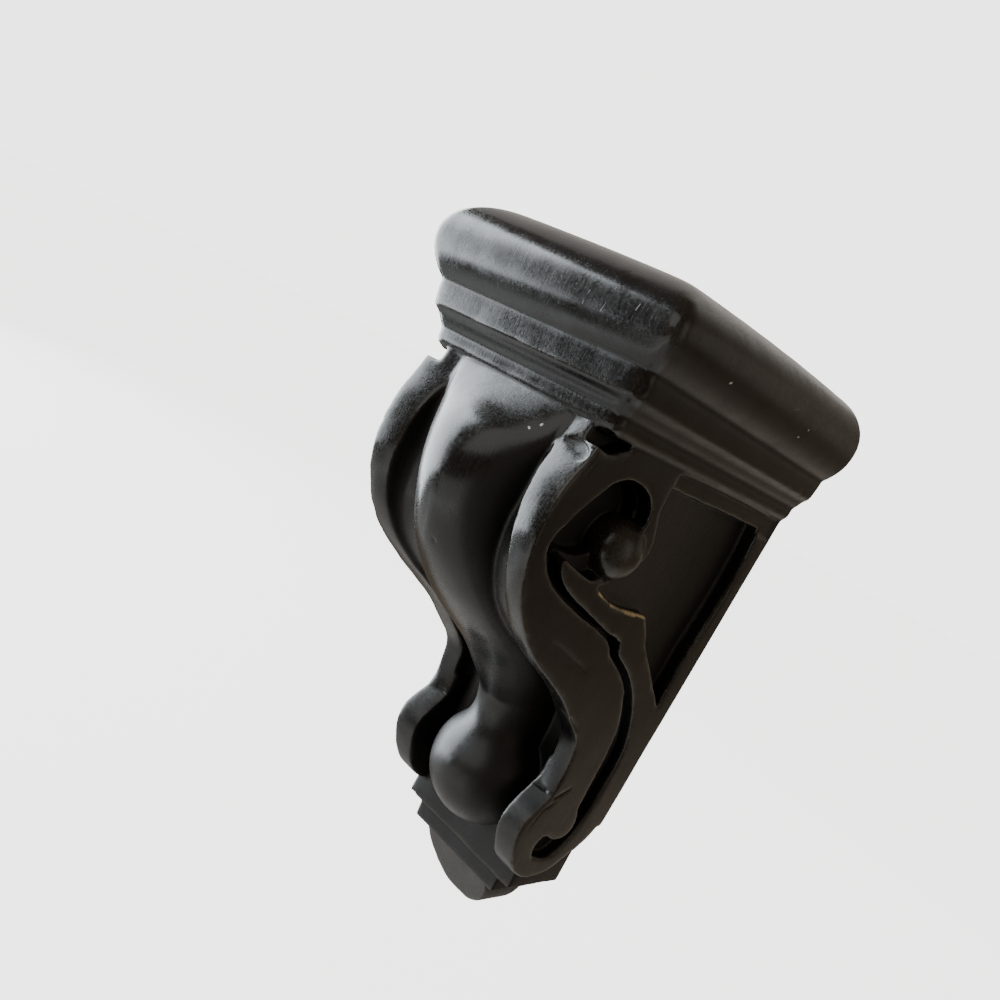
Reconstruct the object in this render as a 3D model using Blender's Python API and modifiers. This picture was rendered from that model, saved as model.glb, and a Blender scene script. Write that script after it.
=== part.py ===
"""Carved wooden corbel bracket, made to be fixed to a wall.

One solid piece of timber: a moulded cap with returns, a body carved with a scroll on each side and a
tongue down the front that ends in a ball, and a stepped plinth. Metres, +Z up. The wall is the plane
y = 0, the front looks along -Y, and z = 0 is the underside of the cap.
"""
import bpy
import bmesh
import math
from mathutils import Matrix, Vector

# Cap, its mouldings from the foot up: how far each stands back from the bullnose and how tall it is
CAP_WIDTH = 0.150
CAP_DEPTH = 0.194
CAP_FOOT_INSET = 0.0188
BEAD_INSET = 0.0155
BEAD_HEIGHT = 0.0052
COVE_INSET = 0.0138
COVE_HEIGHT = 0.0061
FILLET_INSET = 0.0086
FILLET_SLANT = 0.0010
FILLET_RISE = 0.0059
FILLET_HEIGHT = 0.0081
QUIRK_HEIGHT = 0.0035
NOSE_RADIUS = 0.0275
NOSE_RISE = 0.0238
CAP_CORNER = 0.0060
CORNER_STEPS = 3
NOSE_STEPS = 9

# Body: it stands a little proud of the cap's foot, and its scroll a little behind the bullnose
BODY_PROUD = 0.0008
SCROLL_SETBACK = 0.0075
BODY_HEIGHT = 0.200
BODY_TAPER = 0.093

# Carving, all of it measured square to the face it is cut in
EYE_DEPTH = 0.013
GROOVE_DEPTH = 0.009
PANEL_DEPTH = 0.010
BOSS_RADIUS = 0.017
BOSS_CENTRE = 0.0144
BOSS_BEDDED = 0.0012
SEAT_DEPTH = 0.0115
SEAT_STEPS = 13
SEAT_FIRST = 2
BULB_RADIUS = 0.0325
VOLUTE_THICKNESS = 0.0165
VOLUTE_PROUD = 0.0004
CUTTER_CLEARANCE = 0.010
BALL_SEGMENTS = 24

# Plinth: each step stands in from the one above, at the sides and at the front
PLINTH_INSET = 0.0075
PLINTH_DEPTH = 0.046
PLINTH_HEIGHT = 0.0425
PLINTH_LAP = 0.006
STEP_INSET = 0.010
STEP_SETBACK = 0.0034
STEP_HEIGHT = 0.0105
STEP_SLOPE = 0.0010
DROP_INSET = 0.0072
DROP_SETBACK = 0.0036
DROP_HEIGHT = 0.029
DROP_TAPER = 0.52
DROP_TURN = 72
DROP_STEPS = 6

# How far each shape runs past the wall before the back is cut flat
CAP_OVERRUN = 0.008
BODY_OVERRUN = 0.006
VOLUTE_OVERRUN = 0.005
PLINTH_OVERRUN = 0.004

HALF = CAP_WIDTH / 2 - CAP_FOOT_INSET + BODY_PROUD
BODY_DEPTH = CAP_DEPTH - SCROLL_SETBACK

# Outlines are shares: how far out of the wall (of BODY_DEPTH), how far down (of BODY_HEIGHT)
# Front sheet: out, down, band's inner edge, tongue's half width (of HALF), crest, channel (of BODY_DEPTH)
FRONT = [
    (0.944, -0.020, 0.63, 0.60, 0.000, 0.000),
    (0.965, 0.060, 0.63, 0.60, 0.028, 0.006),
    (0.994, 0.135, 0.66, 0.55, 0.050, 0.048),
    (1.000, 0.210, 0.70, 0.50, 0.054, 0.070),
    (0.987, 0.285, 0.74, 0.46, 0.044, 0.074),
    (0.938, 0.375, 0.77, 0.45, 0.035, 0.059),
    (0.853, 0.455, 0.76, 0.46, 0.030, 0.038),
    (0.756, 0.515, 0.76, 0.49, 0.032, 0.028),
    (0.654, 0.560, 0.75, 0.51, 0.040, 0.028),
    (0.558, 0.605, 0.74, 0.51, 0.049, 0.038),
    (0.474, 0.658, 0.74, 0.49, 0.059, 0.054),
    (0.388, 0.720, 0.74, 0.45, 0.070, 0.075),
    (0.361, 0.790, 0.76, 0.41, 0.075, 0.086),
    (0.354, 0.875, 0.77, 0.39, 0.069, 0.091),
    (0.357, 1.000, 0.77, 0.39, 0.043, 0.091),
]
ROW_STEPS = 3
TONGUE_COLUMNS = 6
WALL_COLUMNS = 2
BAND_COLUMNS = 2

# Lower volute, from its top at the front, round the foot and up to the wall
VOLUTE_TOP = 0.80
VOLUTE = [
    (0.352, 0.870), (0.372, 0.905), (0.408, 0.955), (0.414, 1.005), (0.390, 1.060), (0.350, 1.108),
    (0.296, 1.138), (0.238, 1.148), (0.179, 1.142), (0.133, 1.122), (0.078, 1.080), (0.030, 1.035),
    (0.000, 0.980),
]

# The one recess of the side: over the eye, down behind the front band and into the lower hook
RECESS_OUTER = [
    (0.640, 0.185), (0.632, 0.135), (0.654, 0.100), (0.700, 0.074), (0.765, 0.064), (0.822, 0.075),
    (0.866, 0.115), (0.908, 0.170), (0.938, 0.225), (0.938, 0.262), (0.908, 0.300), (0.850, 0.340),
    (0.775, 0.376), (0.685, 0.405), (0.585, 0.430), (0.500, 0.455), (0.461, 0.474), (0.373, 0.512),
    (0.316, 0.548), (0.268, 0.596), (0.226, 0.658), (0.202, 0.729), (0.194, 0.796), (0.188, 0.876),
    (0.184, 0.925), (0.158, 0.960), (0.150, 0.998), (0.176, 1.024), (0.216, 1.030), (0.262, 1.016),
    (0.286, 1.016),
]
RECESS_INNER = [
    (0.296, 1.040), (0.286, 1.070), (0.250, 1.082), (0.194, 1.087), (0.151, 1.053), (0.124, 1.004),
    (0.108, 0.950), (0.103, 0.866), (0.106, 0.790), (0.124, 0.722), (0.171, 0.648), (0.222, 0.591),
    (0.283, 0.542), (0.351, 0.502), (0.425, 0.469), (0.462, 0.432), (0.546, 0.412), (0.630, 0.387),
    (0.708, 0.365), (0.782, 0.340), (0.828, 0.315), (0.850, 0.285), (0.835, 0.262), (0.760, 0.258),
    (0.690, 0.225),
]
EYE = [
    (0.655, 0.200), (0.650, 0.140), (0.695, 0.094), (0.765, 0.082), (0.822, 0.100), (0.868, 0.150),
    (0.910, 0.215), (0.912, 0.262), (0.870, 0.292), (0.780, 0.270), (0.700, 0.240),
]
PANEL = [
    (0.612, 0.045), (0.085, 0.045), (0.066, 0.130), (0.060, 0.225), (0.066, 0.330), (0.077, 0.430),
    (0.074, 0.540), (0.067, 0.600), (0.171, 0.531), (0.250, 0.477), (0.323, 0.431), (0.360, 0.390),
    (0.392, 0.362), (0.420, 0.351), (0.513, 0.350), (0.600, 0.340), (0.690, 0.312), (0.636, 0.287),
    (0.592, 0.264), (0.575, 0.236), (0.556, 0.214), (0.558, 0.190), (0.566, 0.160), (0.604, 0.097),
]
CAP_NOTCH = [
    (0.955, -0.010), (0.890, -0.010), (0.840, 0.008), (0.880, 0.026), (0.930, 0.036), (0.955, 0.020),
]
BOSS = (0.6515, 0.213)
BULB = (0.286, 0.965)


def clear_scene():
    for item in list(bpy.data.objects):
        bpy.data.objects.remove(item, do_unlink=True)


def collection(name):
    group = bpy.data.collections.new(name)
    bpy.context.scene.collection.children.link(group)
    return group


def spline(points, steps, closed=False):
    """A smooth line through the points, with a number of steps between each two."""
    count = len(points)
    spans = count if closed else count - 1
    line = []
    for i in range(spans):
        if closed:
            a, b, c, d = (points[(i + k) % count] for k in (-1, 0, 1, 2))
        else:
            a, b, c, d = (points[min(max(i + k, 0), count - 1)] for k in (-1, 0, 1, 2))
        for step in range(steps):
            t = step / steps
            line.append(tuple(
                0.5 * (2 * q + (r - p) * t + (2 * p - 5 * q + 4 * r - s) * t**2
                       + (3 * q - p - 3 * r + s) * t**3)
                for p, q, r, s in zip(a, b, c, d)))
    if not closed:
        line.append(tuple(points[-1]))
    return line


def narrowed(x, z):
    """The body is a little narrower at its foot than under the cap."""
    return x * (1 + BODY_TAPER * z / BODY_HEIGHT)


def new_object(name, bm, group):
    bmesh.ops.recalc_face_normals(bm, faces=bm.faces)
    mesh = bpy.data.meshes.new(name)
    bm.to_mesh(mesh)
    bm.free()
    item = bpy.data.objects.new(name, mesh)
    group.objects.link(item)
    return item


def plan_ring(bm, z, half_width, depth, corner, overrun):
    """A closed ring of vertices at height z: square at the wall, with the front corners round or square."""
    right = [(half_width, overrun)]
    for step in range(CORNER_STEPS + 1 if corner else 1):
        turn = math.pi / 2 * step / CORNER_STEPS
        right.append((half_width - corner * (1 - math.cos(turn)), -depth + corner * (1 - math.sin(turn))))
    left = [(-x, y) for x, y in reversed(right)]
    verts = [bm.verts.new((x, y, z)) for x, y in right + left]
    return [bm.edges.new((verts[i - 1], verts[i])) for i in range(len(verts))]


def ring_stack(name, levels, group, corner, overrun):
    """A solid through rings given as height, half width and depth."""
    bm = bmesh.new()
    rings = [plan_ring(bm, z, half, depth, corner, overrun) for z, half, depth in levels]
    for one, other in zip(rings, rings[1:]):
        bmesh.ops.bridge_loops(bm, edges=one + other)
    bmesh.ops.holes_fill(bm, edges=rings[0] + rings[-1], sides=0)
    return new_object(name, bm, group)


def cap_profile():
    """Height and inset of each line of the cap, from its foot up to the flat top."""
    bead_top = BEAD_HEIGHT
    cove_top = bead_top + COVE_HEIGHT
    fillet_foot = cove_top + FILLET_RISE
    fillet_top = fillet_foot + FILLET_HEIGHT
    cove_fall, bead_fall = COVE_INSET - FILLET_INSET, CAP_FOOT_INSET - BEAD_INSET
    profile = [
        (0.0, CAP_FOOT_INSET), (bead_top / 2, BEAD_INSET + bead_fall / 4), (bead_top, BEAD_INSET),
        (bead_top + COVE_HEIGHT * 0.6, (BEAD_INSET + COVE_INSET) / 2 + bead_fall / 5), (cove_top, COVE_INSET),
        (cove_top + FILLET_RISE / 2, COVE_INSET - cove_fall / 4), (fillet_foot, FILLET_INSET + FILLET_SLANT),
        (fillet_top, FILLET_INSET),
    ]
    start = -math.acos((NOSE_RADIUS - FILLET_INSET) / NOSE_RADIUS)
    centre = fillet_top + QUIRK_HEIGHT - NOSE_RADIUS * math.sin(start)
    for step in range(NOSE_STEPS + 1):
        turn = start + (math.pi / 2 - start) * step / NOSE_STEPS
        rise = NOSE_RADIUS if turn < 0 else NOSE_RISE
        profile.append((centre + rise * math.sin(turn), NOSE_RADIUS * (1 - math.cos(turn))))
    return profile


def make_cap(group):
    """Bullnose, fillet, cove and bead with returns on three sides."""
    levels = [(z, CAP_WIDTH / 2 - inset, CAP_DEPTH - inset) for z, inset in cap_profile()]
    return ring_stack("cap", levels, group, CAP_CORNER, CAP_OVERRUN)


def make_plinth(group):
    """Two square steps and a tapering drop under them, back to the wall."""
    half, depth = narrowed(HALF, -BODY_HEIGHT) - PLINTH_INSET, PLINTH_DEPTH
    foot = -BODY_HEIGHT - PLINTH_HEIGHT
    levels = [(-BODY_HEIGHT + PLINTH_LAP, half, depth), (foot + STEP_SLOPE, half, depth)]
    half, depth = half - STEP_INSET, depth - STEP_SETBACK
    levels += [(foot, half, depth), (foot - STEP_HEIGHT + STEP_SLOPE, half, depth)]
    foot, half, depth = foot - STEP_HEIGHT, half - DROP_INSET, depth - DROP_SETBACK
    for step in range(DROP_STEPS + 1):
        turn = math.radians(DROP_TURN) * step / DROP_STEPS
        levels.append((foot - DROP_HEIGHT * math.sin(turn), half * math.cos(turn),
                       depth * (1 - DROP_TAPER * math.sin(turn))))
    return ring_stack("plinth", levels, group, 0.0, PLINTH_OVERRUN)


def front_point(row, u):
    """A point of the carved front, u running from -1 at the left side to 1 at the right."""
    out, down, edge, tongue, crest, channel, normal = row
    column = abs(u) * (TONGUE_COLUMNS + WALL_COLUMNS + BAND_COLUMNS)
    if column <= TONGUE_COLUMNS:
        turn = math.pi / 2 * column / TONGUE_COLUMNS
        x, rise = tongue * math.sin(turn), -channel + (crest + channel) * math.cos(turn)
    elif column <= TONGUE_COLUMNS + WALL_COLUMNS:
        t = (column - TONGUE_COLUMNS) / WALL_COLUMNS
        x, rise = tongue + (edge - tongue) * (1 - (1 - t) ** 2), -channel * (1 - t**3)
    else:
        t = (column - TONGUE_COLUMNS - WALL_COLUMNS) / BAND_COLUMNS
        x, rise = edge + (1 - edge) * t, 0.0
    y = -BODY_DEPTH * out + normal[0] * rise * BODY_DEPTH
    z = -BODY_HEIGHT * down + normal[1] * rise * BODY_DEPTH
    return Vector((narrowed(math.copysign(x, u) * HALF, z), y, z))


def front_rows():
    """The rows of the front sheet with their outward normals."""
    line = spline(FRONT, ROW_STEPS)
    rows = []
    for i, row in enumerate(line):
        before, after = line[max(i - 1, 0)], line[min(i + 1, len(line) - 1)]
        dy, dz = -BODY_DEPTH * (after[0] - before[0]), -BODY_HEIGHT * (after[1] - before[1])
        length = math.hypot(dy, dz)
        rows.append(row + ((dz / length, -dy / length),))
    return rows


def make_body(group):
    """The carved front as a sheet, drawn back square to the wall."""
    rows = front_rows()
    bm = bmesh.new()
    columns = 2 * (TONGUE_COLUMNS + WALL_COLUMNS + BAND_COLUMNS)
    grid = bmesh.ops.create_grid(bm, x_segments=columns, y_segments=len(rows) - 1, size=1)
    for vert in grid["verts"]:
        row = rows[round((1 - vert.co.y) / 2 * (len(rows) - 1))]
        vert.co = front_point(row, round(vert.co.x, 5))
    rim = [edge for edge in bm.edges if edge.is_boundary]
    drawn = bmesh.ops.extrude_edge_only(bm, edges=rim)["geom"]
    for vert in drawn:
        if isinstance(vert, bmesh.types.BMVert):
            vert.co.y = BODY_OVERRUN
    bmesh.ops.holes_fill(bm, edges=[edge for edge in bm.edges if edge.is_boundary], sides=0)
    return new_object("corbel", bm, group)


def place(points):
    """Shares of the side face turned into y and z."""
    return [(-BODY_DEPTH * out, -BODY_HEIGHT * down) for out, down in points]


def outline_slab(name, outline, inner, outer, group):
    """A flat outline in the side view with its thickness across the bracket, narrowed with the body."""
    curve = bpy.data.curves.new(name, "CURVE")
    curve.dimensions = "2D"
    curve.fill_mode = "BOTH"
    curve.extrude = (outer - inner) / 2
    line = curve.splines.new("POLY")
    line.points.add(len(outline) - 1)
    for point, (y, z) in zip(line.points, outline):
        point.co = (y, z, 0.0, 1.0)
    line.use_cyclic_u = True
    shape = bpy.data.objects.new(name + "_outline", curve)
    group.objects.link(shape)
    evaluated = shape.evaluated_get(bpy.context.evaluated_depsgraph_get())
    bm = bmesh.new()
    bm.from_mesh(bpy.data.meshes.new_from_object(evaluated))
    bmesh.ops.remove_doubles(bm, verts=bm.verts, dist=0.000001)
    turn = Matrix(((0, 0, 1), (1, 0, 0), (0, 1, 0))).to_4x4()
    bmesh.ops.transform(bm, matrix=Matrix.Translation(((inner + outer) / 2, 0, 0)) @ turn, verts=bm.verts)
    for vert in bm.verts:
        vert.co.x = narrowed(vert.co.x, vert.co.z)
    bpy.data.objects.remove(shape, do_unlink=True)
    return new_object(name, bm, group)


def make_volute(group):
    """The lower scroll, a little proud of the side, so that it shows as a piece of its own carving."""
    outline = place(spline(VOLUTE, 3))
    top = -VOLUTE_TOP * BODY_HEIGHT
    outline += [(VOLUTE_OVERRUN, outline[-1][1]), (VOLUTE_OVERRUN, top), (outline[0][0], top)]
    return outline_slab("volute", outline, HALF - VOLUTE_THICKNESS, HALF + VOLUTE_PROUD, group)


def make_cutters(group):
    """The recess behind the front band, the eye, the seat under its ball, the panel and a nick at the cap."""
    clear = HALF + CUTTER_CLEARANCE
    (y, z), = place([BOSS])
    turns = [-math.pi * step / SEAT_STEPS for step in range(SEAT_FIRST, SEAT_STEPS + 1)]
    radius = BOSS_RADIUS - BOSS_BEDDED
    seat = [(y + radius * math.cos(turn), z + radius * math.sin(turn)) for turn in turns]
    recess = place(spline(RECESS_OUTER, 2) + spline(RECESS_INNER, 2))
    eye = place(spline(EYE, 2, closed=True))
    return [outline_slab("groove", recess, HALF - GROOVE_DEPTH, clear, group),
            outline_slab("eye", eye, HALF - EYE_DEPTH, clear, group),
            outline_slab("seat", seat, HALF - SEAT_DEPTH, clear, group),
            outline_slab("panel", place(PANEL), HALF - PANEL_DEPTH, clear, group),
            outline_slab("cap_notch", place(CAP_NOTCH), HALF - GROOVE_DEPTH, clear, group)]


def make_ball(name, centre, radius, group):
    """A ball with its poles at the sides."""
    bm = bmesh.new()
    bmesh.ops.create_uvsphere(bm, u_segments=BALL_SEGMENTS, v_segments=BALL_SEGMENTS // 2 + 2, radius=radius,
                              matrix=Matrix.Rotation(math.pi / 2, 4, "Y"))
    bmesh.ops.translate(bm, vec=centre, verts=bm.verts)
    return new_object(name, bm, group)


def make_boss(group):
    """The ball in the eye of the upper scroll."""
    (y, z), = place([BOSS])
    return make_ball("boss", (narrowed(HALF, z) - BOSS_CENTRE, y, z), BOSS_RADIUS, group)


def make_bulb(group):
    """The ball that ends the tongue."""
    (y, z), = place([BULB])
    return make_ball("bulb", (0, y, z), BULB_RADIUS, group)


def make_back_cut(group):
    """Everything behind the wall plane."""
    bm = bmesh.new()
    size = 4 * CAP_DEPTH
    bmesh.ops.create_cube(bm, size=size, matrix=Matrix.Translation((0, size / 2, 0)))
    return new_object("back_cut", bm, group)


def wood():
    """Stained near black, with a satin sheen."""
    material = bpy.data.materials.new("black_stained_wood")
    material.use_nodes = True
    shader = material.node_tree.nodes["Principled BSDF"]
    shader.inputs["Base Color"].default_value = (0.012, 0.012, 0.013, 1.0)
    shader.inputs["Roughness"].default_value = 0.42
    shader.inputs["Metallic"].default_value = 0.0
    return material


def combine(item, others, operation):
    for other in others:
        change = item.modifiers.new(other.name, "BOOLEAN")
        change.operation = operation
        change.solver = "EXACT"
        change.object = other
        other.hide_render = True
        other.display_type = "WIRE"


def repeat_on_the_left(item):
    """Keeps the carved right half and mirrors it."""
    mirror = item.modifiers.new("other_side", "MIRROR")
    mirror.use_axis = (True, False, False)
    mirror.use_bisect_axis = (True, False, False)
    mirror.merge_threshold = 0.00001


clear_scene()
model = collection("corbel_bracket")
tools = collection("shapes_joined_or_cut")
corbel = make_body(model)
combine(corbel, [make_volute(tools)], "UNION")
combine(corbel, make_cutters(tools), "DIFFERENCE")
combine(corbel, [make_boss(tools)], "UNION")
repeat_on_the_left(corbel)
combine(corbel, [make_cap(tools), make_plinth(tools), make_bulb(tools)], "UNION")
combine(corbel, [make_back_cut(tools)], "DIFFERENCE")
corbel.data.materials.append(wood())
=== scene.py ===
"""Looks of a carved wooden corbel bracket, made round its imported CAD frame.

Metres, +Z up. The wall is the plane y = 0, the carved front looks along -Y, and z = 0 is the underside
of the cap.
"""
import math
import bpy
import bmesh
import numpy as np
from mathutils import Matrix, Vector


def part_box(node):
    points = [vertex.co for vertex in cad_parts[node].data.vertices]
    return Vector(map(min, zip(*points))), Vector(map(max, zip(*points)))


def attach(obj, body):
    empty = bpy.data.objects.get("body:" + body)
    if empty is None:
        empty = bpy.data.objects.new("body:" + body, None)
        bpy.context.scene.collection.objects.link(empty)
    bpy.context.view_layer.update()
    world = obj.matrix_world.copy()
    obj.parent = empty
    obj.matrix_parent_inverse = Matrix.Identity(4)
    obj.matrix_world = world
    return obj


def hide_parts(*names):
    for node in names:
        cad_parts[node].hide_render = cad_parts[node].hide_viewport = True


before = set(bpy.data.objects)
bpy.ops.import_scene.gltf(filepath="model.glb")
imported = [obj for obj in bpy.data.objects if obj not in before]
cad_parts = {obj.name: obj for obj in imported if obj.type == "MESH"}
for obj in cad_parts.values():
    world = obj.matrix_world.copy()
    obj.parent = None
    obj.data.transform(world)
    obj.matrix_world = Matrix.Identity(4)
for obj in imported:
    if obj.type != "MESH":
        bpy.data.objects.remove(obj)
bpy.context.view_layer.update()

# Body of the block. It is carved from one piece of close-grained timber with its grain upright: a
# hollowed S-shaped front with a raised band down each edge and a rounded tongue down the middle.
MM = 0.001
low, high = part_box("corbel")
CAP_WIDTH = high.x - low.x
CREST_PROUD = 2.7 * MM
CAP_DEPTH = -low.y - CREST_PROUD
CAP_FOOT_INSET, SIDE_PROUD = 18.8 * MM, 0.8 * MM
HALF = CAP_WIDTH / 2 - CAP_FOOT_INSET + SIDE_PROUD
NOSE_OVERHANG = 7.5 * MM
BODY_DEPTH = CAP_DEPTH - NOSE_OVERHANG
BODY_HEIGHT = 200 * MM
BODY_TAPER = 0.093
BAND_CROWN = 0.0022
BAND_TURN = 0.0075

# Shares out of the wall and down, band's inner edge, tongue's half width, crest, channel
FRONT = [
    (0.944, -0.020, 0.63, 0.60, 0.000, 0.000),
    (0.965, 0.060, 0.63, 0.60, 0.028, 0.006),
    (0.994, 0.135, 0.66, 0.55, 0.050, 0.048),
    (1.000, 0.210, 0.70, 0.50, 0.054, 0.070),
    (0.987, 0.285, 0.74, 0.46, 0.044, 0.074),
    (0.938, 0.375, 0.77, 0.45, 0.035, 0.059),
    (0.853, 0.455, 0.76, 0.46, 0.030, 0.038),
    (0.756, 0.515, 0.76, 0.49, 0.032, 0.028),
    (0.654, 0.560, 0.75, 0.51, 0.040, 0.028),
    (0.558, 0.605, 0.74, 0.51, 0.049, 0.038),
    (0.474, 0.658, 0.74, 0.49, 0.059, 0.054),
    (0.388, 0.720, 0.74, 0.45, 0.070, 0.075),
    (0.361, 0.790, 0.76, 0.41, 0.075, 0.086),
    (0.354, 0.875, 0.77, 0.39, 0.069, 0.091),
    (0.357, 1.000, 0.77, 0.39, 0.043, 0.091),
]
ROW_STEPS = 7
TONGUE_COLUMNS, WALL_COLUMNS, BAND_COLUMNS = 16, 7, 7


def spline(points, steps, closed=False):
    """A smooth line through the points, with a number of steps between each two."""
    count = len(points)
    line = []
    for i in range(count if closed else count - 1):
        if closed:
            a, b, c, d = (points[(i + k) % count] for k in (-1, 0, 1, 2))
        else:
            a, b, c, d = (points[min(max(i + k, 0), count - 1)] for k in (-1, 0, 1, 2))
        for step in range(steps):
            t = step / steps
            line.append(tuple(
                0.5 * (2 * q + (r - p) * t + (2 * p - 5 * q + 4 * r - s) * t**2
                       + (3 * q - p - 3 * r + s) * t**3)
                for p, q, r, s in zip(a, b, c, d)))
    if not closed:
        line.append(tuple(points[-1]))
    return line


def narrowed(x, z):
    """The body is a little narrower at its foot than under the cap."""
    return x * (1 + BODY_TAPER * z / BODY_HEIGHT)


def shape(name, bm):
    """An object of the bmesh, for joining or cutting."""
    bmesh.ops.recalc_face_normals(bm, faces=bm.faces)
    mesh = bpy.data.meshes.new(name)
    bm.to_mesh(mesh)
    bm.free()
    item = bpy.data.objects.new(name, mesh)
    bpy.context.scene.collection.objects.link(item)
    return item


def front_point(row, u):
    """A point of the carved front, u running from -1 at the left side to 1 at the right."""
    out, down, edge, tongue, crest, channel, normal = row
    column = abs(u) * (TONGUE_COLUMNS + WALL_COLUMNS + BAND_COLUMNS)
    if column <= TONGUE_COLUMNS:
        turn = math.pi / 2 * column / TONGUE_COLUMNS
        x, rise = tongue * math.sin(turn), -channel + (crest + channel) * math.cos(turn)
    elif column <= TONGUE_COLUMNS + WALL_COLUMNS:
        t = (column - TONGUE_COLUMNS) / WALL_COLUMNS
        x, rise = tongue + (edge - tongue) * (1 - (1 - t) ** 2), -channel * (1 - t**3)
    else:
        t = (column - TONGUE_COLUMNS - WALL_COLUMNS) / BAND_COLUMNS
        x, rise = edge + (1 - edge) * t, 4 * BAND_CROWN * t * (1 - t) + BAND_TURN * (t - 0.5)
    y = -BODY_DEPTH * out + normal[0] * rise * BODY_DEPTH
    z = -BODY_HEIGHT * down + normal[1] * rise * BODY_DEPTH
    return Vector((narrowed(math.copysign(x, u) * HALF, z), y, z))


line = spline(FRONT, ROW_STEPS)
rows = []
for i, row in enumerate(line):
    before, after = line[max(i - 1, 0)], line[min(i + 1, len(line) - 1)]
    dy, dz = -BODY_DEPTH * (after[0] - before[0]), -BODY_HEIGHT * (after[1] - before[1])
    length = math.hypot(dy, dz)
    rows.append(row + ((dz / length, -dy / length),))
bm = bmesh.new()
grid = bmesh.ops.create_grid(bm, x_segments=2 * (TONGUE_COLUMNS + WALL_COLUMNS + BAND_COLUMNS),
                             y_segments=len(rows) - 1, size=1)
for vert in grid["verts"]:
    row = rows[round((1 - vert.co.y) / 2 * (len(rows) - 1))]
    vert.co = front_point(row, round(vert.co.x, 5))
rim = [edge for edge in bm.edges if edge.is_boundary]
for vert in bmesh.ops.extrude_edge_only(bm, edges=rim)["geom"]:
    if isinstance(vert, bmesh.types.BMVert):
        vert.co.y = 0.0
bmesh.ops.holes_fill(bm, edges=[edge for edge in bm.edges if edge.is_boundary], sides=0)
body = shape("body", bm)

# Carving of the side: the lower volute stands out by a hair, and a recess behind the front band, the
# scroll's eye with the seat of its ball, the sunk panel with its rail and a nick under the cap are cut
# in with gouge and chisel. Outlines are shares of the side face, out of the wall and down from the cap.
GROOVE_DEPTH = 9 * MM
EYE_DEPTH = 17 * MM
PANEL_DEPTH, PANEL_LEAN = 10.6 * MM, 0.055
RAIL_DEPTH = 1.0 * MM
VOLUTE_THICKNESS = 16.5 * MM
VOLUTE_PROUD = 0.05 * MM
VOLUTE_TOP = 0.80
BALL_RADIUS = 15.0 * MM
BALL_CENTRE = 9.2 * MM
SEAT_DEPTH = 11.5 * MM
SEAT_RADIUS = 15.8 * MM
SEAT_TURNS = range(-28, -181, -8)
CUTTER_SPARE = 10 * MM
BALL = (0.648, 0.221)

VOLUTE = [
    (0.352, 0.870), (0.372, 0.905), (0.408, 0.955), (0.414, 1.005), (0.390, 1.060), (0.350, 1.108),
    (0.296, 1.138), (0.238, 1.148), (0.179, 1.142), (0.133, 1.122), (0.078, 1.080), (0.030, 1.035),
    (0.000, 0.980),
]
RECESS_OUTER = [
    (0.640, 0.185), (0.632, 0.135), (0.654, 0.100), (0.700, 0.074), (0.765, 0.064), (0.822, 0.075),
    (0.866, 0.115), (0.908, 0.170), (0.938, 0.225), (0.938, 0.262), (0.908, 0.300), (0.850, 0.334),
    (0.775, 0.361), (0.685, 0.387), (0.590, 0.410), (0.515, 0.434), (0.461, 0.470), (0.373, 0.512),
    (0.316, 0.548), (0.268, 0.596), (0.226, 0.658), (0.202, 0.729), (0.194, 0.796), (0.188, 0.876),
    (0.184, 0.925), (0.158, 0.960), (0.150, 0.998), (0.176, 1.024), (0.216, 1.030), (0.262, 1.016),
    (0.286, 1.016),
]
RECESS_INNER = [
    (0.296, 1.040), (0.286, 1.070), (0.250, 1.082), (0.194, 1.087), (0.151, 1.053), (0.124, 1.004),
    (0.108, 0.950), (0.103, 0.866), (0.106, 0.790), (0.124, 0.722), (0.171, 0.648), (0.222, 0.591),
    (0.283, 0.542), (0.351, 0.502), (0.425, 0.469), (0.462, 0.432), (0.546, 0.412), (0.630, 0.387),
    (0.708, 0.365), (0.782, 0.342), (0.832, 0.318), (0.858, 0.292), (0.862, 0.270), (0.818, 0.280),
    (0.765, 0.293), (0.715, 0.298), (0.675, 0.270),
]
EYE = [
    (0.645, 0.192), (0.638, 0.136), (0.660, 0.104), (0.704, 0.079), (0.765, 0.069), (0.819, 0.081),
    (0.862, 0.120), (0.903, 0.174), (0.932, 0.227), (0.932, 0.261), (0.903, 0.294), (0.872, 0.288),
    (0.860, 0.262), (0.780, 0.266), (0.700, 0.240),
]
PANEL_STILE = [(0.085, 0.045), (0.066, 0.130), (0.060, 0.225), (0.066, 0.330), (0.077, 0.430),
               (0.074, 0.540), (0.067, 0.600)]
PANEL_BAND = [(0.067, 0.600), (0.171, 0.531), (0.250, 0.477), (0.323, 0.431), (0.360, 0.390),
              (0.392, 0.362), (0.420, 0.351), (0.513, 0.350), (0.600, 0.340), (0.690, 0.312)]
PANEL_EYE = [(0.690, 0.312), (0.636, 0.287), (0.592, 0.264), (0.575, 0.236), (0.556, 0.214),
             (0.558, 0.190), (0.566, 0.160), (0.604, 0.097), (0.612, 0.045)]
RAIL = [(0.614, 0.004), (0.010, 0.004), (0.010, 0.060), (0.612, 0.060)]
CAP_NOTCH = [
    (0.985, -0.004), (0.900, -0.006), (0.838, 0.004), (0.868, 0.014), (0.905, 0.032), (0.965, 0.026),
]


def place(points):
    """Shares of the side face turned into y and z."""
    return [(-BODY_DEPTH * out, -BODY_HEIGHT * down) for out, down in points]


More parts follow.
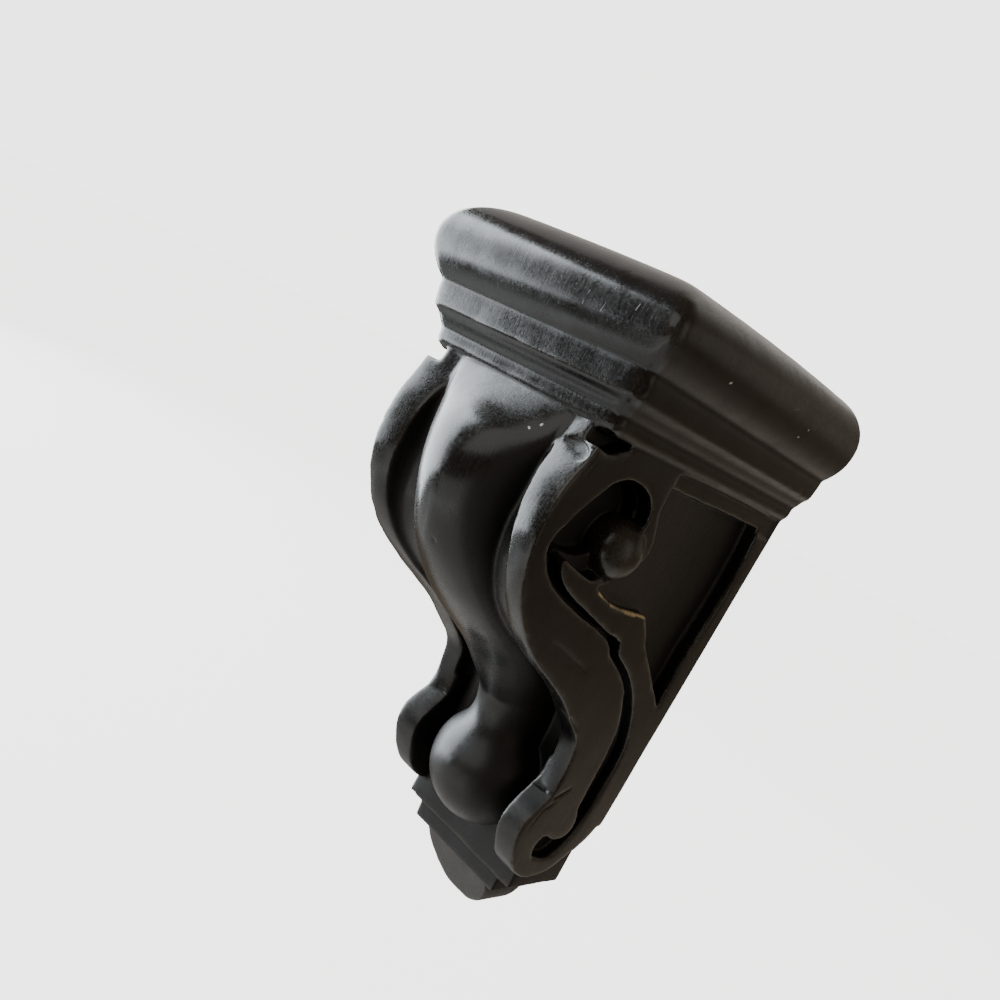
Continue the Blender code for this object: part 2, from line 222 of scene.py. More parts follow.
def side_slab(name, outline, inner, outer, lean=0.0):
    """A flat outline of the side face, in y and z, with its thickness across the bracket. The inner face
    may lean out towards the front."""
    bm = bmesh.new()
    circle = bmesh.ops.create_circle(bm, segments=len(outline), radius=1, cap_ends=False)["verts"]
    for vert, (y, z) in zip(circle, outline):
        vert.co = (inner - lean * y, y, z)
    made = bmesh.ops.triangle_fill(bm, use_beauty=True, edges=bm.edges[:])["geom"]
    faces = [part for part in made if isinstance(part, bmesh.types.BMFace)]
    raised = bmesh.ops.extrude_face_region(bm, geom=faces, use_keep_orig=True)["geom"]
    for part in raised:
        if isinstance(part, bmesh.types.BMVert):
            part.co.x = outer
    for vert in bm.verts:
        vert.co.x = narrowed(vert.co.x, vert.co.z)
    return shape(name, bm)


def ball(name, centre, radius, segments=48):
    """A ball with its poles at the sides."""
    bm = bmesh.new()
    bmesh.ops.create_uvsphere(bm, u_segments=segments, v_segments=segments // 2 + 2, radius=radius,
                              matrix=Matrix.Translation(centre) @ Matrix.Rotation(math.pi / 2, 4, "Y"))
    return shape(name, bm)


def combine(item, others, operation):
    """Joins the others to the item, or cuts them out of it."""
    for other in others:
        change = item.modifiers.new(other.name, "BOOLEAN")
        change.operation = operation
        change.solver = "EXACT"
        change.object = other


outline = place(spline(VOLUTE, 6))
top = -VOLUTE_TOP * BODY_HEIGHT
volute = side_slab("volute", outline + [(0.0, top), (outline[0][0], top)],
                   HALF - VOLUTE_THICKNESS, HALF + VOLUTE_PROUD)
clear = HALF + CUTTER_SPARE
(ball_y, ball_z), = place([BALL])
seat = [(ball_y + SEAT_RADIUS * math.cos(math.radians(turn)),
         ball_z + SEAT_RADIUS * math.sin(math.radians(turn))) for turn in SEAT_TURNS]
recess = spline(RECESS_OUTER, 4) + spline(RECESS_INNER, 4)
panel = spline(PANEL_STILE, 3)[:-1] + spline(PANEL_BAND, 4)[:-1] + spline(PANEL_EYE, 4)
cuts = [side_slab("recess", place(recess), HALF - GROOVE_DEPTH, clear),
        side_slab("eye", place(spline(EYE, 5, closed=True)), HALF - EYE_DEPTH, clear),
        side_slab("seat", seat, HALF - SEAT_DEPTH, clear),
        side_slab("panel", place(panel), HALF - PANEL_DEPTH, clear, PANEL_LEAN),
        side_slab("rail", place(RAIL), HALF - RAIL_DEPTH, clear),
        side_slab("notch", place(spline(CAP_NOTCH, 3, closed=True)), HALF - GROOVE_DEPTH, clear)]
eye_ball = ball("eye_ball", (narrowed(HALF, ball_z) - BALL_CENTRE, ball_y, ball_z), BALL_RADIUS)
combine(body, [volute], "UNION")
combine(body, cuts, "DIFFERENCE")
other_side = body.modifiers.new("other_side", "MIRROR")
other_side.use_axis = (True, False, False)
other_side.use_bisect_axis = (True, False, False)
other_side.merge_threshold = 0.00001

# Cap, plinth and the ball that ends the tongue, all worked in the same block: a bullnose, fillet, cove
# and bead run round three sides above, and two square steps and a tapering drop finish the foot.
BEAD_INSET, BEAD_HEIGHT = 15.5 * MM, 5.2 * MM
COVE_INSET, COVE_HEIGHT = 13.8 * MM, 6.1 * MM
FILLET_INSET, FILLET_RISE, FILLET_HEIGHT, FILLET_LEAN = 8.6 * MM, 5.9 * MM, 8.1 * MM, 1 * MM
QUIRK_HEIGHT = 3.5 * MM
NOSE_RADIUS, NOSE_RISE = 27.5 * MM, 23.8 * MM
CAP_CORNER = 6 * MM
NOSE_STEPS = 30
CORNER_STEPS = 6
PLINTH_INSET, PLINTH_DEPTH, PLINTH_HEIGHT, PLINTH_LAP = 7.5 * MM, 46 * MM, 42.5 * MM, 6 * MM
STEP_INSET, STEP_SETBACK, STEP_HEIGHT = 10 * MM, 3.4 * MM, 10.5 * MM
DROP_INSET, DROP_SETBACK, DROP_HEIGHT, DROP_TAPER = 7.2 * MM, 3.6 * MM, 29 * MM, 0.52
DROP_TURN, DROP_STEPS = 72, 18
BULB_RADIUS = 32.5 * MM
BULB = (0.286, 0.965)


def plan_ring(bm, z, half_width, depth, corner):
    """A closed ring of vertices at height z: square at the wall, with the front corners round or square."""
    right = [(half_width, 0.0)]
    for step in range(CORNER_STEPS + 1 if corner else 1):
        turn = math.pi / 2 * step / CORNER_STEPS
        right.append((half_width - corner * (1 - math.cos(turn)), -depth + corner * (1 - math.sin(turn))))
    left = [(-x, y) for x, y in reversed(right)]
    verts = [bm.verts.new((x, y, z)) for x, y in right + left]
    return [bm.edges.new((verts[i - 1], verts[i])) for i in range(len(verts))]


def ring_stack(name, levels, corner):
    """A solid through rings given as height, half width and depth."""
    bm = bmesh.new()
    rings = [plan_ring(bm, z, half, depth, corner) for z, half, depth in levels]
    for one, other in zip(rings, rings[1:]):
        bmesh.ops.bridge_loops(bm, edges=one + other)
    bmesh.ops.holes_fill(bm, edges=rings[0] + rings[-1], sides=0)
    return shape(name, bm)


bead_fall, cove_fall = CAP_FOOT_INSET - BEAD_INSET, COVE_INSET - FILLET_INSET
cove_top = BEAD_HEIGHT + COVE_HEIGHT
fillet_foot = cove_top + FILLET_RISE
fillet_top = fillet_foot + FILLET_HEIGHT
profile = spline([(0.0, CAP_FOOT_INSET), (BEAD_HEIGHT * 0.5, BEAD_INSET + bead_fall / 4),
                  (BEAD_HEIGHT, BEAD_INSET), (BEAD_HEIGHT + COVE_HEIGHT * 0.6, COVE_INSET + bead_fall / 2),
                  (cove_top, COVE_INSET), (cove_top + FILLET_RISE / 2, COVE_INSET - cove_fall / 4)], 3)
profile += [(fillet_foot, FILLET_INSET + FILLET_LEAN), (fillet_top, FILLET_INSET)]
start = -math.acos((NOSE_RADIUS - FILLET_INSET) / NOSE_RADIUS)
centre = fillet_top + QUIRK_HEIGHT - NOSE_RADIUS * math.sin(start)
for step in range(NOSE_STEPS + 1):
    turn = start + (math.pi / 2 - start) * step / NOSE_STEPS
    profile.append((centre + (NOSE_RADIUS if turn < 0 else NOSE_RISE) * math.sin(turn),
                    NOSE_RADIUS * (1 - math.cos(turn))))
levels = [(z, CAP_WIDTH / 2 - inset, CAP_DEPTH - inset) for z, inset in profile]
cap = ring_stack("cap", levels, CAP_CORNER)

foot = -BODY_HEIGHT - PLINTH_HEIGHT
half, depth = narrowed(HALF, -BODY_HEIGHT) - PLINTH_INSET, PLINTH_DEPTH
levels = [(-BODY_HEIGHT + PLINTH_LAP, half, depth), (foot, half, depth)]
half, depth = half - STEP_INSET, depth - STEP_SETBACK
levels += [(foot, half, depth), (foot - STEP_HEIGHT, half, depth)]
foot, half, depth = foot - STEP_HEIGHT, half - DROP_INSET, depth - DROP_SETBACK
for step in range(DROP_STEPS + 1):
    turn = math.radians(DROP_TURN) * step / DROP_STEPS
    levels.append((foot - DROP_HEIGHT * math.sin(turn), half * math.cos(turn),
                   depth * (1 - DROP_TAPER * math.sin(turn))))
plinth = ring_stack("plinth", levels, 0.0)
(bulb_y, bulb_z), = place([BULB])
bulb = ball("bulb", (0, bulb_y, bulb_z), BULB_RADIUS, 96)

# The carved surface: all of it is one skin, worked over by hand. Corners are eased by the scraper and by
# wear, the neck runs into its ball in one sweep, and the flats keep a slight unevenness from the blade.
# Chips, nicks and creases are where the photographed bracket has them, on its right and front.
FULL_SKIN, QUICK_SKIN = 0.65 * MM, 1.2 * MM
SKIN = FULL_SKIN
TRIANGLES = 190000
BACK_SPARE = 3 * MM


def evaluated_mesh(item):
    """The item's mesh with its modifiers applied."""
    bpy.context.view_layer.update()
    graph = bpy.context.evaluated_depsgraph_get()
    return bpy.data.meshes.new_from_object(item.evaluated_get(graph), depsgraph=graph)


bm = bmesh.new()
for item in (body, cap, plinth, bulb, eye_ball):
    mesh = evaluated_mesh(item)
    bm.from_mesh(mesh)
    bpy.data.meshes.remove(mesh)
mirrored = evaluated_mesh(eye_ball)
mirrored.transform(Matrix.Scale(-1, 4, (1, 0, 0)))
mirrored.flip_normals()
bm.from_mesh(mirrored)
bpy.data.meshes.remove(mirrored)
# The block overruns the wall while it is worked, so that its back can be cut off true afterwards
for vert in bm.verts:
    if vert.co.y > -0.01 * MM:
        vert.co.y = BACK_SPARE
mesh = bpy.data.meshes.new("corbel_wood")
bm.to_mesh(mesh)
bm.free()
for item in [body, volute, cap, plinth, bulb, eye_ball] + cuts:
    bpy.data.objects.remove(item, do_unlink=True)
carving = bpy.data.objects.new("corbel_carving", mesh)
bpy.context.scene.collection.objects.link(carving)
skin = carving.modifiers.new("skin", "REMESH")
skin.mode = "VOXEL"
skin.voxel_size = SKIN
skin.use_smooth_shade = True
mesh = evaluated_mesh(carving)
carving.modifiers.clear()
carving.data = mesh
mesh.name = "corbel_carving"

count = len(mesh.vertices)
edges = np.empty(len(mesh.edges) * 2, np.int32)
mesh.edges.foreach_get("vertices", edges)
edges = edges.reshape(-1, 2)
co = np.empty(count * 3)
mesh.vertices.foreach_get("co", co)
co = co.reshape(-1, 3)


def relaxed(values, share, times, pairs=edges):
    """Each value moved towards the mean of its neighbours, over and over."""
    a, b = pairs[:, 0], pairs[:, 1]
    size = len(values)
    degree = (np.bincount(a, minlength=size) + np.bincount(b, minlength=size)).clip(1)
    for _ in range(times):
        mean = np.stack([(np.bincount(a, column[b], size) + np.bincount(b, column[a], size)) / degree
                         for column in values.T], 1)
        values = values + (mean - values) * share
    return values


def rounds(full):
    """Rounds of relaxing that reach as far on this skin as so many do on the full one."""
    return round(full * (FULL_SKIN / SKIN) ** 2)


def normals_now():
    """The skin's normals, once its mesh has the moved points."""
    mesh.vertices.foreach_set("co", co.ravel())
    mesh.update()
    normals = np.empty(count * 3, np.float32)
    mesh.vertex_normals.foreach_get("vector", normals)
    return normals.reshape(-1, 3).astype(float)


def fade(distance, reach):
    """1 at the middle, falling smoothly to 0 at the reach."""
    t = np.clip(1 - distance / reach, 0, 1)
    return t * t * (3 - 2 * t)


def uneven(points, cell, seed):
    """Smooth random numbers from -1 to 1, with lumps of the size of the cell along each axis."""
    spot = (points - co.min(0)) / cell
    whole = np.floor(spot).astype(int)
    part = spot - whole
    part = part * part * (3 - 2 * part)
    lattice = np.random.default_rng(seed).uniform(-1, 1, tuple(whole.max(0) + 2))
    total = 0.0
    for corner in np.ndindex(2, 2, 2):
        weight = np.prod([part[:, k] if corner[k] else 1 - part[:, k] for k in range(3)], axis=0)
        total = total + weight * lattice[tuple((whole + corner).T)]
    return total


def from_line(points, line):
    """How far each point is from a line given in millimetres, and its share of the way along it."""
    nearest, share = np.full(len(points), 1.0), np.zeros(len(points))
    line = np.array(line) * MM
    for i, (a, b) in enumerate(zip(line, line[1:])):
        along = np.clip((points - a) @ (b - a) / ((b - a) @ (b - a)), 0, 1)
        distance = np.linalg.norm(points - a - along[:, None] * (b - a), axis=1)
        share = np.where(distance < nearest, (i + along) / (len(line) - 1), share)
        nearest = np.minimum(nearest, distance)
    return nearest, share


# Eased corners, then the sweep from the neck to its ball, relaxed on its own patch of the skin
co = relaxed(co, 0.5, rounds(6) + 1)
SWEEPS = [((0, -79, -170), (1.5, 1.0, 1.0), 24, 700), ((23, -72, -166), (1, 1, 1), 20, 300),
          ((-23, -72, -166), (1, 1, 1), 20, 300)]
for middle, stretch, reach, turns in SWEEPS:
    distance = np.linalg.norm((co - np.array(middle) * MM) / stretch, axis=1)
    near = np.flatnonzero(distance < reach * MM)
    local = np.full(count, -1)
    local[near] = np.arange(len(near))
    pairs = local[edges]
    pairs = pairs[(pairs >= 0).all(1)]
    share = 0.9 * fade(distance[near], reach * MM)[:, None]
    co[near] = relaxed(co[near], share, rounds(turns), pairs)

# The cap's top was planed a little low to the front, and most of all at its right corner
PLANED_FROM, PLANED_OVER, FRONT_FALL, CORNER_FALL = 38 * MM, 34.6 * MM, 1.6 * MM, 6.2 * MM
front_share = np.clip(-co[:, 1] / CAP_DEPTH, 0, 1)
right_share = np.clip(0.5 + co[:, 0] / CAP_WIDTH, 0, 1)
upper = np.clip((co[:, 2] - PLANED_FROM) / PLANED_OVER, 0, 1)
co[:, 2] -= upper * front_share**2 * (FRONT_FALL + CORNER_FALL * right_share**2)

# The left side, carved a little fuller at the foot and slimmer at the waist: place, reach and shift in mm
SWELLS = [((-50, -142, -108), 30, (2.0, 1.2, 0.0)), ((-52, -70, -190), 26, (-1.8, -2.2, 0.8)),
          ((-30, -44, -240), 26, (-2.0, -0.6, 0.0))]
for middle, reach, shift in SWELLS:
    distance = np.linalg.norm(co - np.array(middle) * MM, axis=1)
    co += fade(distance, reach * MM)[:, None] * np.array(shift) * MM

# Scored and split lines, which taper to both ends: points, width and depth in mm
CREASES = [
    ([(54.6, -139.5, -91.5), (54.5, -129.1, -94.7), (54.4, -117.2, -98.9), (54.3, -107.8, -101.8),
      (54.2, -100.0, -105.2)], 5.0, 0.55),
    ([(44.9, -106.5, -119.7), (50, -106.5, -118.4), (53.9, -105.7, -117.7)], 2.6, 1.3),
    ([(47.3, -94.9, -127.0), (53.0, -90.8, -129.8), (53.3, -77.4, -137.8)], 2.4, 0.9),
    ([(37.8, -67.3, -177.2), (46.7, -66.8, -176.3), (52.7, -63.2, -177.5), (52.8, -53.0, -171.0)], 2.4, 1.1),
    ([(-52.6, -64, -176), (-44.3, -66.1, -173.3), (-36, -66.5, -174)], 2.2, 0.9),
    ([(52.6, -58.8, -178.3), (52.5, -67.5, -184.1), (52.2, -72.5, -196.1)], 2.0, 0.5),
    ([(56.6, -12, -0.6), (56.9, -60, -0.6), (57.0, -112, -0.6)], 2.2, 1.0),
    ([(49.9, -82.2, -90.5), (54.7, -86.2, -86.3)], 2.6, 1.2),
    ([(-20, -181.6, -2.4), (4, -182.4, -3.4), (26, -182.6, -2.2), (44, -180.5, -2.6)], 1.8, 0.6),
    ([(52.6, -183.8, -23.6), (53.2, -182.8, -20.4), (53.6, -182.0, -17.0)], 1.6, 0.5),
    ([(56.5, -178.3, -19.0), (56.6, -176.8, -15.6), (56.7, -174.9, -12.2)], 1.7, 0.4),
]
normals = normals_now()
for line, width, depth in CREASES:
    distance, share = from_line(co, line)
    taper = np.clip(4 * share * (1 - share), 0, 1) ** 0.7
    co -= normals * (fade(distance, width / 2 * MM) * taper)[:, None] * depth * MM

# Chips pressed or split out: centre, reach along each axis and depth in mm
CHIPS = [
    ((64.3, -182.9, 21.0), (3.4, 3.4, 4.5), 1.0),
    ((-62, -182.5, 20.0), (2.8, 2.8, 3.4), 1.0), ((3.8, -182.3, -75.3), (2.2, 2.2, 2.6), 0.5),
    ((52.0, -47.5, -210.0), (4.0, 6.5, 9.0), 1.2), ((-57, -150, -100), (2.6, 3.0, 7.0), 0.7),
    ((72.0, -60, 67), (4.5, 7.0, 4.0), 0.7), ((30, -49.5, -243), (5.0, 2.4, 2.4), 0.8),
    ((-41, -44.6, -242.6), (3.0, 3.0, 3.0), 0.9), ((56.9, -23.0, -120), (2.4, 3.4, 6.0), 0.8),
    ((54.2, -29.5, -229), (3.0, 4.0, 5.0), 0.9), ((47.5, -46.0, -236), (3.4, 2.8, 4.5), 0.9),
]
normals = normals_now()
for middle, reach, depth in CHIPS:
    distance = np.linalg.norm((co - np.array(middle) * MM) / (np.array(reach) * MM), axis=1)
    co -= normals * fade(distance, 1.0)[:, None] * depth * MM

# A shallow oval facet pared off the top of the right-hand band: its middle and reach, and the way it faces
facet, reach = np.array((46.2, -179.7, -11.6)) * MM, np.array((6.6, 6.0, 4.4)) * MM
facing = np.array((0.02, -0.87, 0.493))
pared = np.clip(4 * (1.30 - np.linalg.norm((co - facet) / reach, axis=1)), 0, 1)
co -= facing * (np.maximum((co - facet) @ facing, 0) * pared)[:, None]

# Wear and painted shade: how far a point stands out of the surface round it, for the wear, or lies in, for
# the painted shade of hollows, read at the size of a fingertip
normals = normals_now()
FULL_WEAR, WEAR_DEPTH = 0.55 * MM, 0.45 * MM
stands = ((co - relaxed(co, 0.5, rounds(40))) * normals).sum(1)
edge = np.clip(stands / FULL_WEAR, 0, 1)
shaded_hollow = np.clip(-stands / FULL_WEAR, 0, 1)
rough_wear = 0.5 + 0.5 * uneven(co, np.array((5, 5, 9)) * MM, 3)
co -= normals * (edge * rough_wear)[:, None] * WEAR_DEPTH
long_cuts = 0.09 * uneven(co, np.array((14, 14, 26)) * MM, 5)
short_cuts = 0.035 * uneven(co, np.array((4, 4, 9)) * MM, 6)
co += normals * (long_cuts + short_cuts)[:, None] * MM
co = np.clip(co, np.array(low), np.array(high) + np.array((0, BACK_SPARE, 0)))
normals_now()

# Floors sunk into the side are as dull as a hollow and get its painted shade, but the scroll's ball gets no
# painted shade and is painted in the rubbed grey brown all over, as painted light on it
side = np.clip((np.abs(normals[:, 0]) - 0.35) / 0.3, 0, 1)
sunk = narrowed(HALF, co[:, 2]) - np.abs(co[:, 0])
shaded_hollow = np.maximum(shaded_hollow, side * np.clip(sunk / (5 * MM) - 0.6, 0, 1))
ball_middle = np.array((narrowed(HALF, ball_z) - BALL_CENTRE, ball_y, ball_z))
from_middle = np.linalg.norm(np.abs(co * (1, 0, 0)) + co * (0, 1, 1) - ball_middle, axis=1)
# The ball is marked for painted light: it takes the rubbed grey brown, standing in for the soft light that
# falls on it
ball_painted_light = fade(np.abs(from_middle - BALL_RADIUS), 1.6 * MM)
edge, shaded_hollow = np.maximum(edge, 0.9 * ball_painted_light), shaded_hollow * (1 - ball_painted_light)
for name, values in (("edge", edge), ("shaded_hollow", shaded_hollow), ("side", side)):
    mesh.attributes.new(name, "FLOAT", "POINT").data.foreach_set("value", values.astype(np.float32))
thin = carving.modifiers.new("thin", "DECIMATE")
thin.ratio = min(1.0, TRIANGLES / (2 * len(mesh.polygons)))
final = evaluated_mesh(carving)
carving.modifiers.clear()
carving.data = final
bpy.data.meshes.remove(mesh)
bm = bmesh.new()
bm.from_mesh(final)
bmesh.ops.bisect_plane(bm, geom=bm.verts[:] + bm.edges[:] + bm.faces[:], plane_co=(0, 0, 0),
                       plane_no=(0, 1, 0), clear_outer=True)
rim = [edge for edge in bm.edges if edge.is_boundary]
back = bmesh.ops.holes_fill(bm, edges=rim, sides=0)["faces"]
bmesh.ops.triangulate(bm, faces=back)
bm.to_mesh(final)
bm.free()
final.shade_smooth()
final.set_sharp_from_angle(angle=math.radians(50))

# Finish: hardwood stained and painted black, then waxed. The film is thin and satin, so fine upright grain
# and brush streaks show in its shine, edges are rubbed to grey brown, the ball gets painted light in that
# grey brown, and hollows stay dull and are painted blackest as painted shade.
# The cap is handled most and shines most. One side has a sliver of bare wood where the block split.
WAX_BLACK, RUBBED_AND_BALL_LIGHT, PAINTED_HOLLOW_SHADE = "0D0F11", "38352F", "040405"
GREY_STREAK, SCRATCH_GREY, PALE_FLECK, BARE_WOOD = "3B3D3C", "5A5C58", "C9CBC4", "C9B68C"
LACQUER_IOR = 1.5
FOOT_ROUGHNESS, CAP_ROUGHNESS, SIDE_ROUGHNESS, BARE_ROUGHNESS = 0.37, 0.18, 0.34, 0.6
RELIEF_DEPTH = 0.08 * MM


def linear(colour):
    """An sRGB hex colour as linear values with alpha."""
    parts = [int(colour[i:i + 2], 16) / 255 for i in (0, 2, 4)]
    return tuple(c / 12.92 if c <= 0.04045 else ((c + 0.055) / 1.055) ** 2.4 for c in parts) + (1.0,)


material = bpy.data.materials.new("black_waxed_hardwood")
material.use_nodes = True
tree = material.node_tree
shader = tree.nodes["Principled BSDF"]
shader.inputs["IOR"].default_value = LACQUER_IOR


def add(kind, inputs=(), out=0, into=tree, **settings):
    """Adds a node with its settings and gives one of its outputs. Its inputs come in order or by name:
    a socket is linked, a hex colour is turned linear, and any other value is set."""
    node = into.nodes.new("ShaderNode" + kind)
    for name, value in settings.items():
        setattr(node, name, value)
    for socket, value in inputs.items() if isinstance(inputs, dict) else enumerate(inputs):
        if isinstance(value, bpy.types.NodeSocket):
            into.links.new(value, node.inputs[socket])
        else:
            node.inputs[socket].default_value = linear(value) if isinstance(value, str) else value
    return node.outputs[out]


def pattern(across, along, detail=2.0, rough=0.5):
    """Noise with lumps of so many millimetres across the grain and along it."""
    scale = (1 / (across * MM), 1 / (across * MM), 1 / (along * MM))
    stretched = add("Mapping", {"Vector": where, "Scale": scale})
    return add("TexNoise", {"Vector": stretched, "Scale": 1.0, "Detail": detail, "Roughness": rough})


def marks(lines):
    """1 on the straight marks, each given by its two ends and its width in mm, and 0 off them."""
    total = 0.0
    for a, b, width in lines:
        a, b = Vector(a) * MM, Vector(b) * MM
        way = (b - a).normalized()
        offset = add("VectorMath", (where, a), operation="SUBTRACT")
        along = add("VectorMath", (offset, way), out="Value", operation="DOT_PRODUCT")
        held = add("Clamp", (along, 0.0, (b - a).length))
        nearest = add("VectorMath", {0: way, "Scale": held}, operation="SCALE")
        gap = add("VectorMath", (offset, nearest), out="Value", operation="DISTANCE")
        mark = add("MapRange", (gap, width / 2 * MM, width / 4 * MM))
        total = add("Math", (total, mark), operation="MAXIMUM")
    return total


# Pores and brush streaks are about 0.15 mm wide on the real finish, drawn at 0.6 mm so that they show
where = add("TexCoord", out="Object")
streak = pattern(0.6, 14, 3.0, 0.6)
broad = pattern(2.2, 40)
mottle = pattern(1.3, 1.6, 3.0, 0.6)
cloud = pattern(16, 26, 3.0, 0.6)
wear_and_ball_light = add("Attribute", out="Fac", attribute_name="edge")
in_shaded_hollow = add("Attribute", out="Fac", attribute_name="shaded_hollow")
on_side = add("Attribute", out="Fac", attribute_name="side")

scratches = marks([
    ((26.1, -192.9, 41.4), (27.5, -193.8, 47.1), 0.7), ((36.2, -192.9, 41.2), (37.4, -193.5, 44.8), 0.7),
    ((52.2, -193.7, 46.5), (52.7, -193.9, 49.1), 0.7), ((74.3, -144.8, 53.4), (74.6, -139.0, 57.0), 0.7),
    ((74.9, -84.1, 48.0), (74.9, -80.0, 49.5), 0.7)])
flecks = marks([
    ((23.6, -183.9, -12.3), (24.0, -183.9, -12.6), 1.3), ((27.1, -181.8, -9.2), (27.3, -181.8, -8.6), 1.3),
    ((74.4, -61.3, 44.4), (74.4, -61.0, 44.4), 1.3), ((73.1, -64.3, 39.3), (73.1, -64.0, 39.3), 1.3),
    ((73.8, -143.8, 40.9), (74.0, -143.0, 41.2), 1.3), ((43.4, -134.2, -23.6), (43.4, -133.4, -22.8), 1.3),
    ((42.9, -149.2, -55.0), (42.9, -148.4, -54.6), 1.3)])
split = marks([
    ((55.1, -124.9, -64.6), (55.0, -110.2, -67.9), 2.4), ((55.0, -110.2, -67.9), (54.8, -95.4, -69.3), 4.2),
    ((54.8, -95.4, -69.3), (54.8, -87.0, -69.8), 5.4), ((54.8, -87.0, -69.8), (54.8, -76.7, -70.6), 3.2)])

# Colour, from the widest change to the smallest mark: where it shows, how patchily, and its hex value
patchy = add("Math", (cloud, mottle), operation="ADD")
COATS = [
    # Rubbed grey brown: real wear on edges, and painted light all over the scroll's ball
    (add("MapRange", (wear_and_ball_light, 0.10, 0.75)), add("MapRange", (patchy, 0.75, 1.25)), RUBBED_AND_BALL_LIGHT),
    # Blackest in hollows, creases and sunk floors: painted shade
    (add("MapRange", (in_shaded_hollow, 0.05, 0.8)), 1.0, PAINTED_HOLLOW_SHADE),
    (add("MapRange", (streak, 0.62, 0.80, 0.0, 0.35)), add("MapRange", (cloud, 0.40, 0.62)), GREY_STREAK),
    (scratches, add("MapRange", (mottle, 0.30, 0.52)), SCRATCH_GREY),
    (flecks, 1.0, PALE_FLECK),
    (split, add("MapRange", (streak, 0.28, 0.48)), BARE_WOOD),
]
colour = WAX_BLACK
for shows, patches, coat in COATS:
    share = add("Math", (shows, patches), operation="MULTIPLY")
    colour = add("Mix", {0: share, 6: colour, 7: coat}, out=2, data_type="RGBA")
tree.links.new(colour, shader.inputs["Base Color"])

# Gloss falls from the handled cap to the foot, and is duller on the sides, in hollows and on bare wood
height = add("SeparateXYZ", (where,), out="Z")
by_height = add("MapRange", (height, -240 * MM, -20 * MM, FOOT_ROUGHNESS, CAP_ROUGHNESS))
by_side = add("Math", (on_side, SIDE_ROUGHNESS), operation="MULTIPLY")
gloss = add("Math", (by_height, by_side), operation="MAXIMUM")
for source, least, most, low_change, high_change in (
        (cloud, 0.3, 0.7, -0.03, 0.05), (mottle, 0.3, 0.7, -0.04, 0.06), (streak, 0.3, 0.7, -0.04, 0.06),
        (in_shaded_hollow, 0.0, 1.0, 0.0, 0.20)):
    change = add("MapRange", (source, least, most, low_change, high_change))
    gloss = add("Math", (gloss, change), operation="ADD")
bare = add("Math", (split, BARE_ROUGHNESS), operation="MULTIPLY")
tree.links.new(add("Math", (gloss, bare), operation="MAXIMUM"), shader.inputs["Roughness"])

relief = 0.0
for source, weight in ((streak, 0.75), (broad, 0.35), (mottle, 0.8), (scratches, -0.8)):
    relief = add("Math", (source, weight, relief), operation="MULTIPLY_ADD")
bump = add("Bump", {"Strength": 0.35, "Distance": RELIEF_DEPTH, "Height": relief})
tree.links.new(bump, shader.inputs["Normal"])
final.materials.clear()
final.materials.append(material)

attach(carving, "root")
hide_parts("corbel")

# Floor: a plain pale board some way under the bracket, which hangs clear of it. It is painted matt and
# gives a little light of its own, so that it stays as pale as the room behind.
FLOOR_DROP, FLOOR_SIZE, FLOOR_GLOW = 0.30, 20, 3.4
FLOOR_GREY, ROOM_WHITE = "8A8A88", "F7F7F6"
floor_paint = bpy.data.materials.new("pale_floor_paint")
floor_paint.use_nodes = True
floor_shader = floor_paint.node_tree.nodes["Principled BSDF"]
floor_shader.inputs["Base Color"].default_value = linear(FLOOR_GREY)
floor_shader.inputs["Roughness"].default_value = 0.9
floor_shader.inputs["Emission Color"].default_value = linear(ROOM_WHITE)
floor_shader.inputs["Emission Strength"].default_value = FLOOR_GLOW
bm = bmesh.new()
bmesh.ops.create_grid(bm, x_segments=1, y_segments=1, size=FLOOR_SIZE,
                      matrix=Matrix.Translation((0, 0, low.z - FLOOR_DROP)))
floor = shape("floor", bm)
floor.data.materials.append(floor_paint)
floor.visible_glossy = False
floor.visible_diffuse = False

# Light: a tall soft window at the left, the pale table under it and a dim ceiling in front. Faint soft
# panels at the right and behind, and a warm dim room all round, let the dark sides and back be read.
subject = Vector((0.0, -0.10, -0.06))
WINDOW_LEAN = 9


def softbox(name, left_to_front, height, distance, radiance, colour):
    """A rectangular light facing the bracket, between two angles each way. Azimuth 0 stands at the left
    of the bracket and 90 in front of it."""
    a, e = math.radians(sum(left_to_front) / 2), math.radians(sum(height) / 2)
    way = Vector((-math.cos(a) * math.cos(e), -math.sin(a) * math.cos(e), math.sin(e)))
    lamp = bpy.data.lights.new(name, "AREA")
    lamp.shape = "RECTANGLE"
    lamp.size = 2 * distance * math.tan(math.radians(left_to_front[1] - left_to_front[0]) / 2)
    lamp.size_y = 2 * distance * math.tan(math.radians(height[1] - height[0]) / 2)
    lamp.energy = radiance * math.pi * lamp.size * lamp.size_y
    lamp.color = linear(colour)[:3]
    item = bpy.data.objects.new(name, lamp)
    bpy.context.scene.collection.objects.link(item)
    item.location = subject + way * distance
    item.rotation_euler = way.to_track_quat("Z", "Y").to_euler()
    item.visible_camera = False
    return item


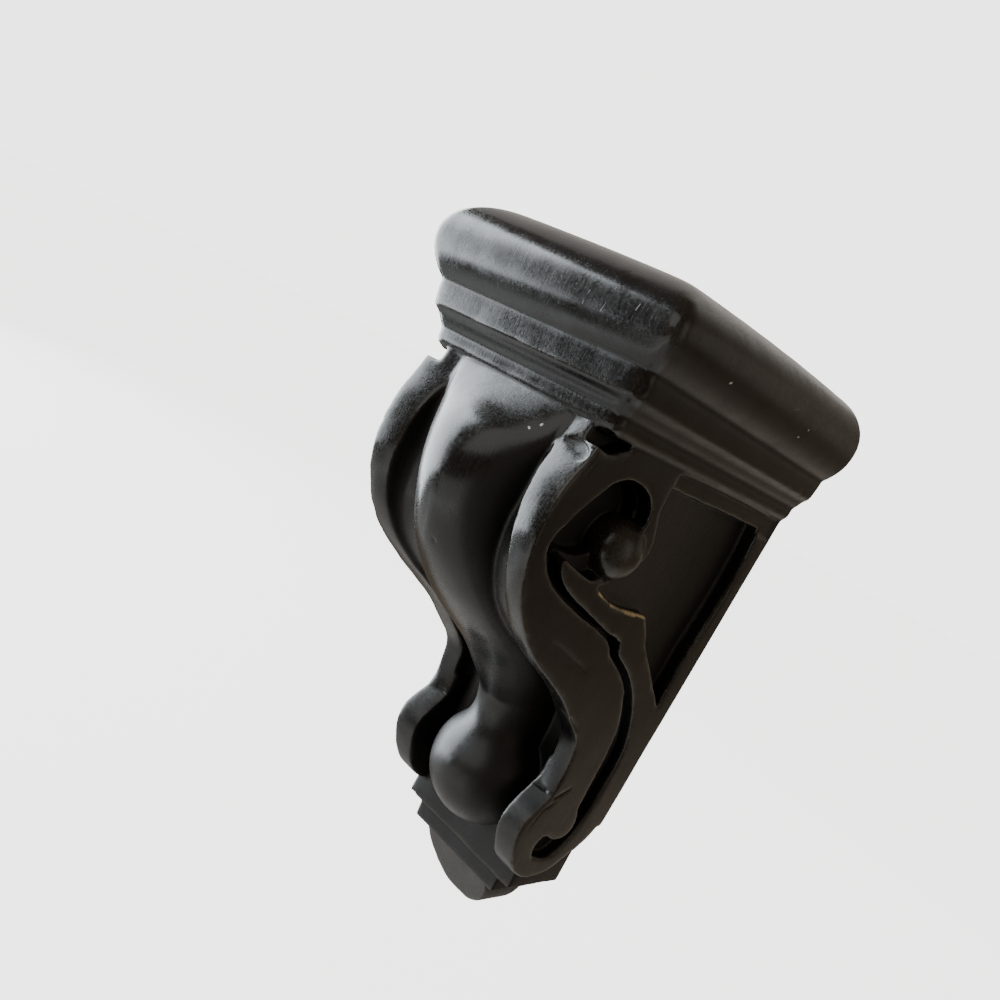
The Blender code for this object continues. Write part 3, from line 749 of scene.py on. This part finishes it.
window = softbox("window", (-14, 42.5), (-25, 40), 2.6, 11.3, "F2FAFF")
window.rotation_euler.rotate_axis("Z", math.radians(WINDOW_LEAN))
softbox("sill", (-12, 36), (-44, -28), 2.0, 0.8, "F2FAFF")
softbox("table", (-60, 30), (-125, -42), 2.0, 0.75, "F4F8F8")
softbox("table_front", (54, 110), (-50, -24), 2.0, 0.95, "F4F8F8")
softbox("table_right", (-140, -95), (-62, -20), 2.0, 0.20, "FFF4E4")
softbox("ceiling", (66, 108), (6, 50), 2.0, 1.25, "F6F6F4")
softbox("ceiling_left", (-78, -18), (16, 62), 2.0, 0.65, "F6F6F4")
softbox("back_wall", (-100, -80), (20, 50), 2.0, 0.35, "FFFDF6")
softbox("side_wall", (-138, -108), (3, 30), 2.0, 0.34, "FFF8EC")
softbox("right_room", (168, 198), (-12, 40), 2.0, 0.85, "FFF8EC")
softbox("behind", (-102, -72), (-34, 4), 2.0, 0.55, "FFF8EC")

world = bpy.data.worlds.new("pale_room")
bpy.context.scene.world = world
world.use_nodes = True
seen = world.node_tree.nodes["Background"]
seen.inputs["Color"].default_value = linear(ROOM_WHITE)
seen.inputs["Strength"].default_value = 3.6
room = add("Background", {"Color": "5E5040", "Strength": 1.45}, into=world.node_tree)
by_camera = add("LightPath", out="Is Camera Ray", into=world.node_tree)
mix = add("MixShader", (by_camera, room, seen.outputs[0]), into=world.node_tree)
world.node_tree.links.new(mix, world.node_tree.nodes["World Output"].inputs["Surface"])

# Camera: held low at the front right and tilted, so that the bracket leans across the picture. Its angles
# turn it right about the upright, down from level, and round its own line of sight.
CAMERA_AT = (275.38 * MM, -485.86 * MM, 2.5 * MM)
AZIMUTH, PITCH, ROLL = 39.353, -6.857, 27.34
SENSOR_WIDTH, LENS = 36, 34.177
view = bpy.data.cameras.new("view")
view.sensor_width = SENSOR_WIDTH
view.lens = LENS
view.clip_start = 0.01
camera = bpy.data.objects.new("view", view)
bpy.context.scene.collection.objects.link(camera)
camera.matrix_world = (Matrix.Translation(CAMERA_AT) @ Matrix.Rotation(math.radians(AZIMUTH), 4, "Z")
                       @ Matrix.Rotation(math.radians(90 + PITCH), 4, "X")
                       @ Matrix.Rotation(math.radians(ROLL), 4, "Z"))
bpy.context.scene.camera = camera
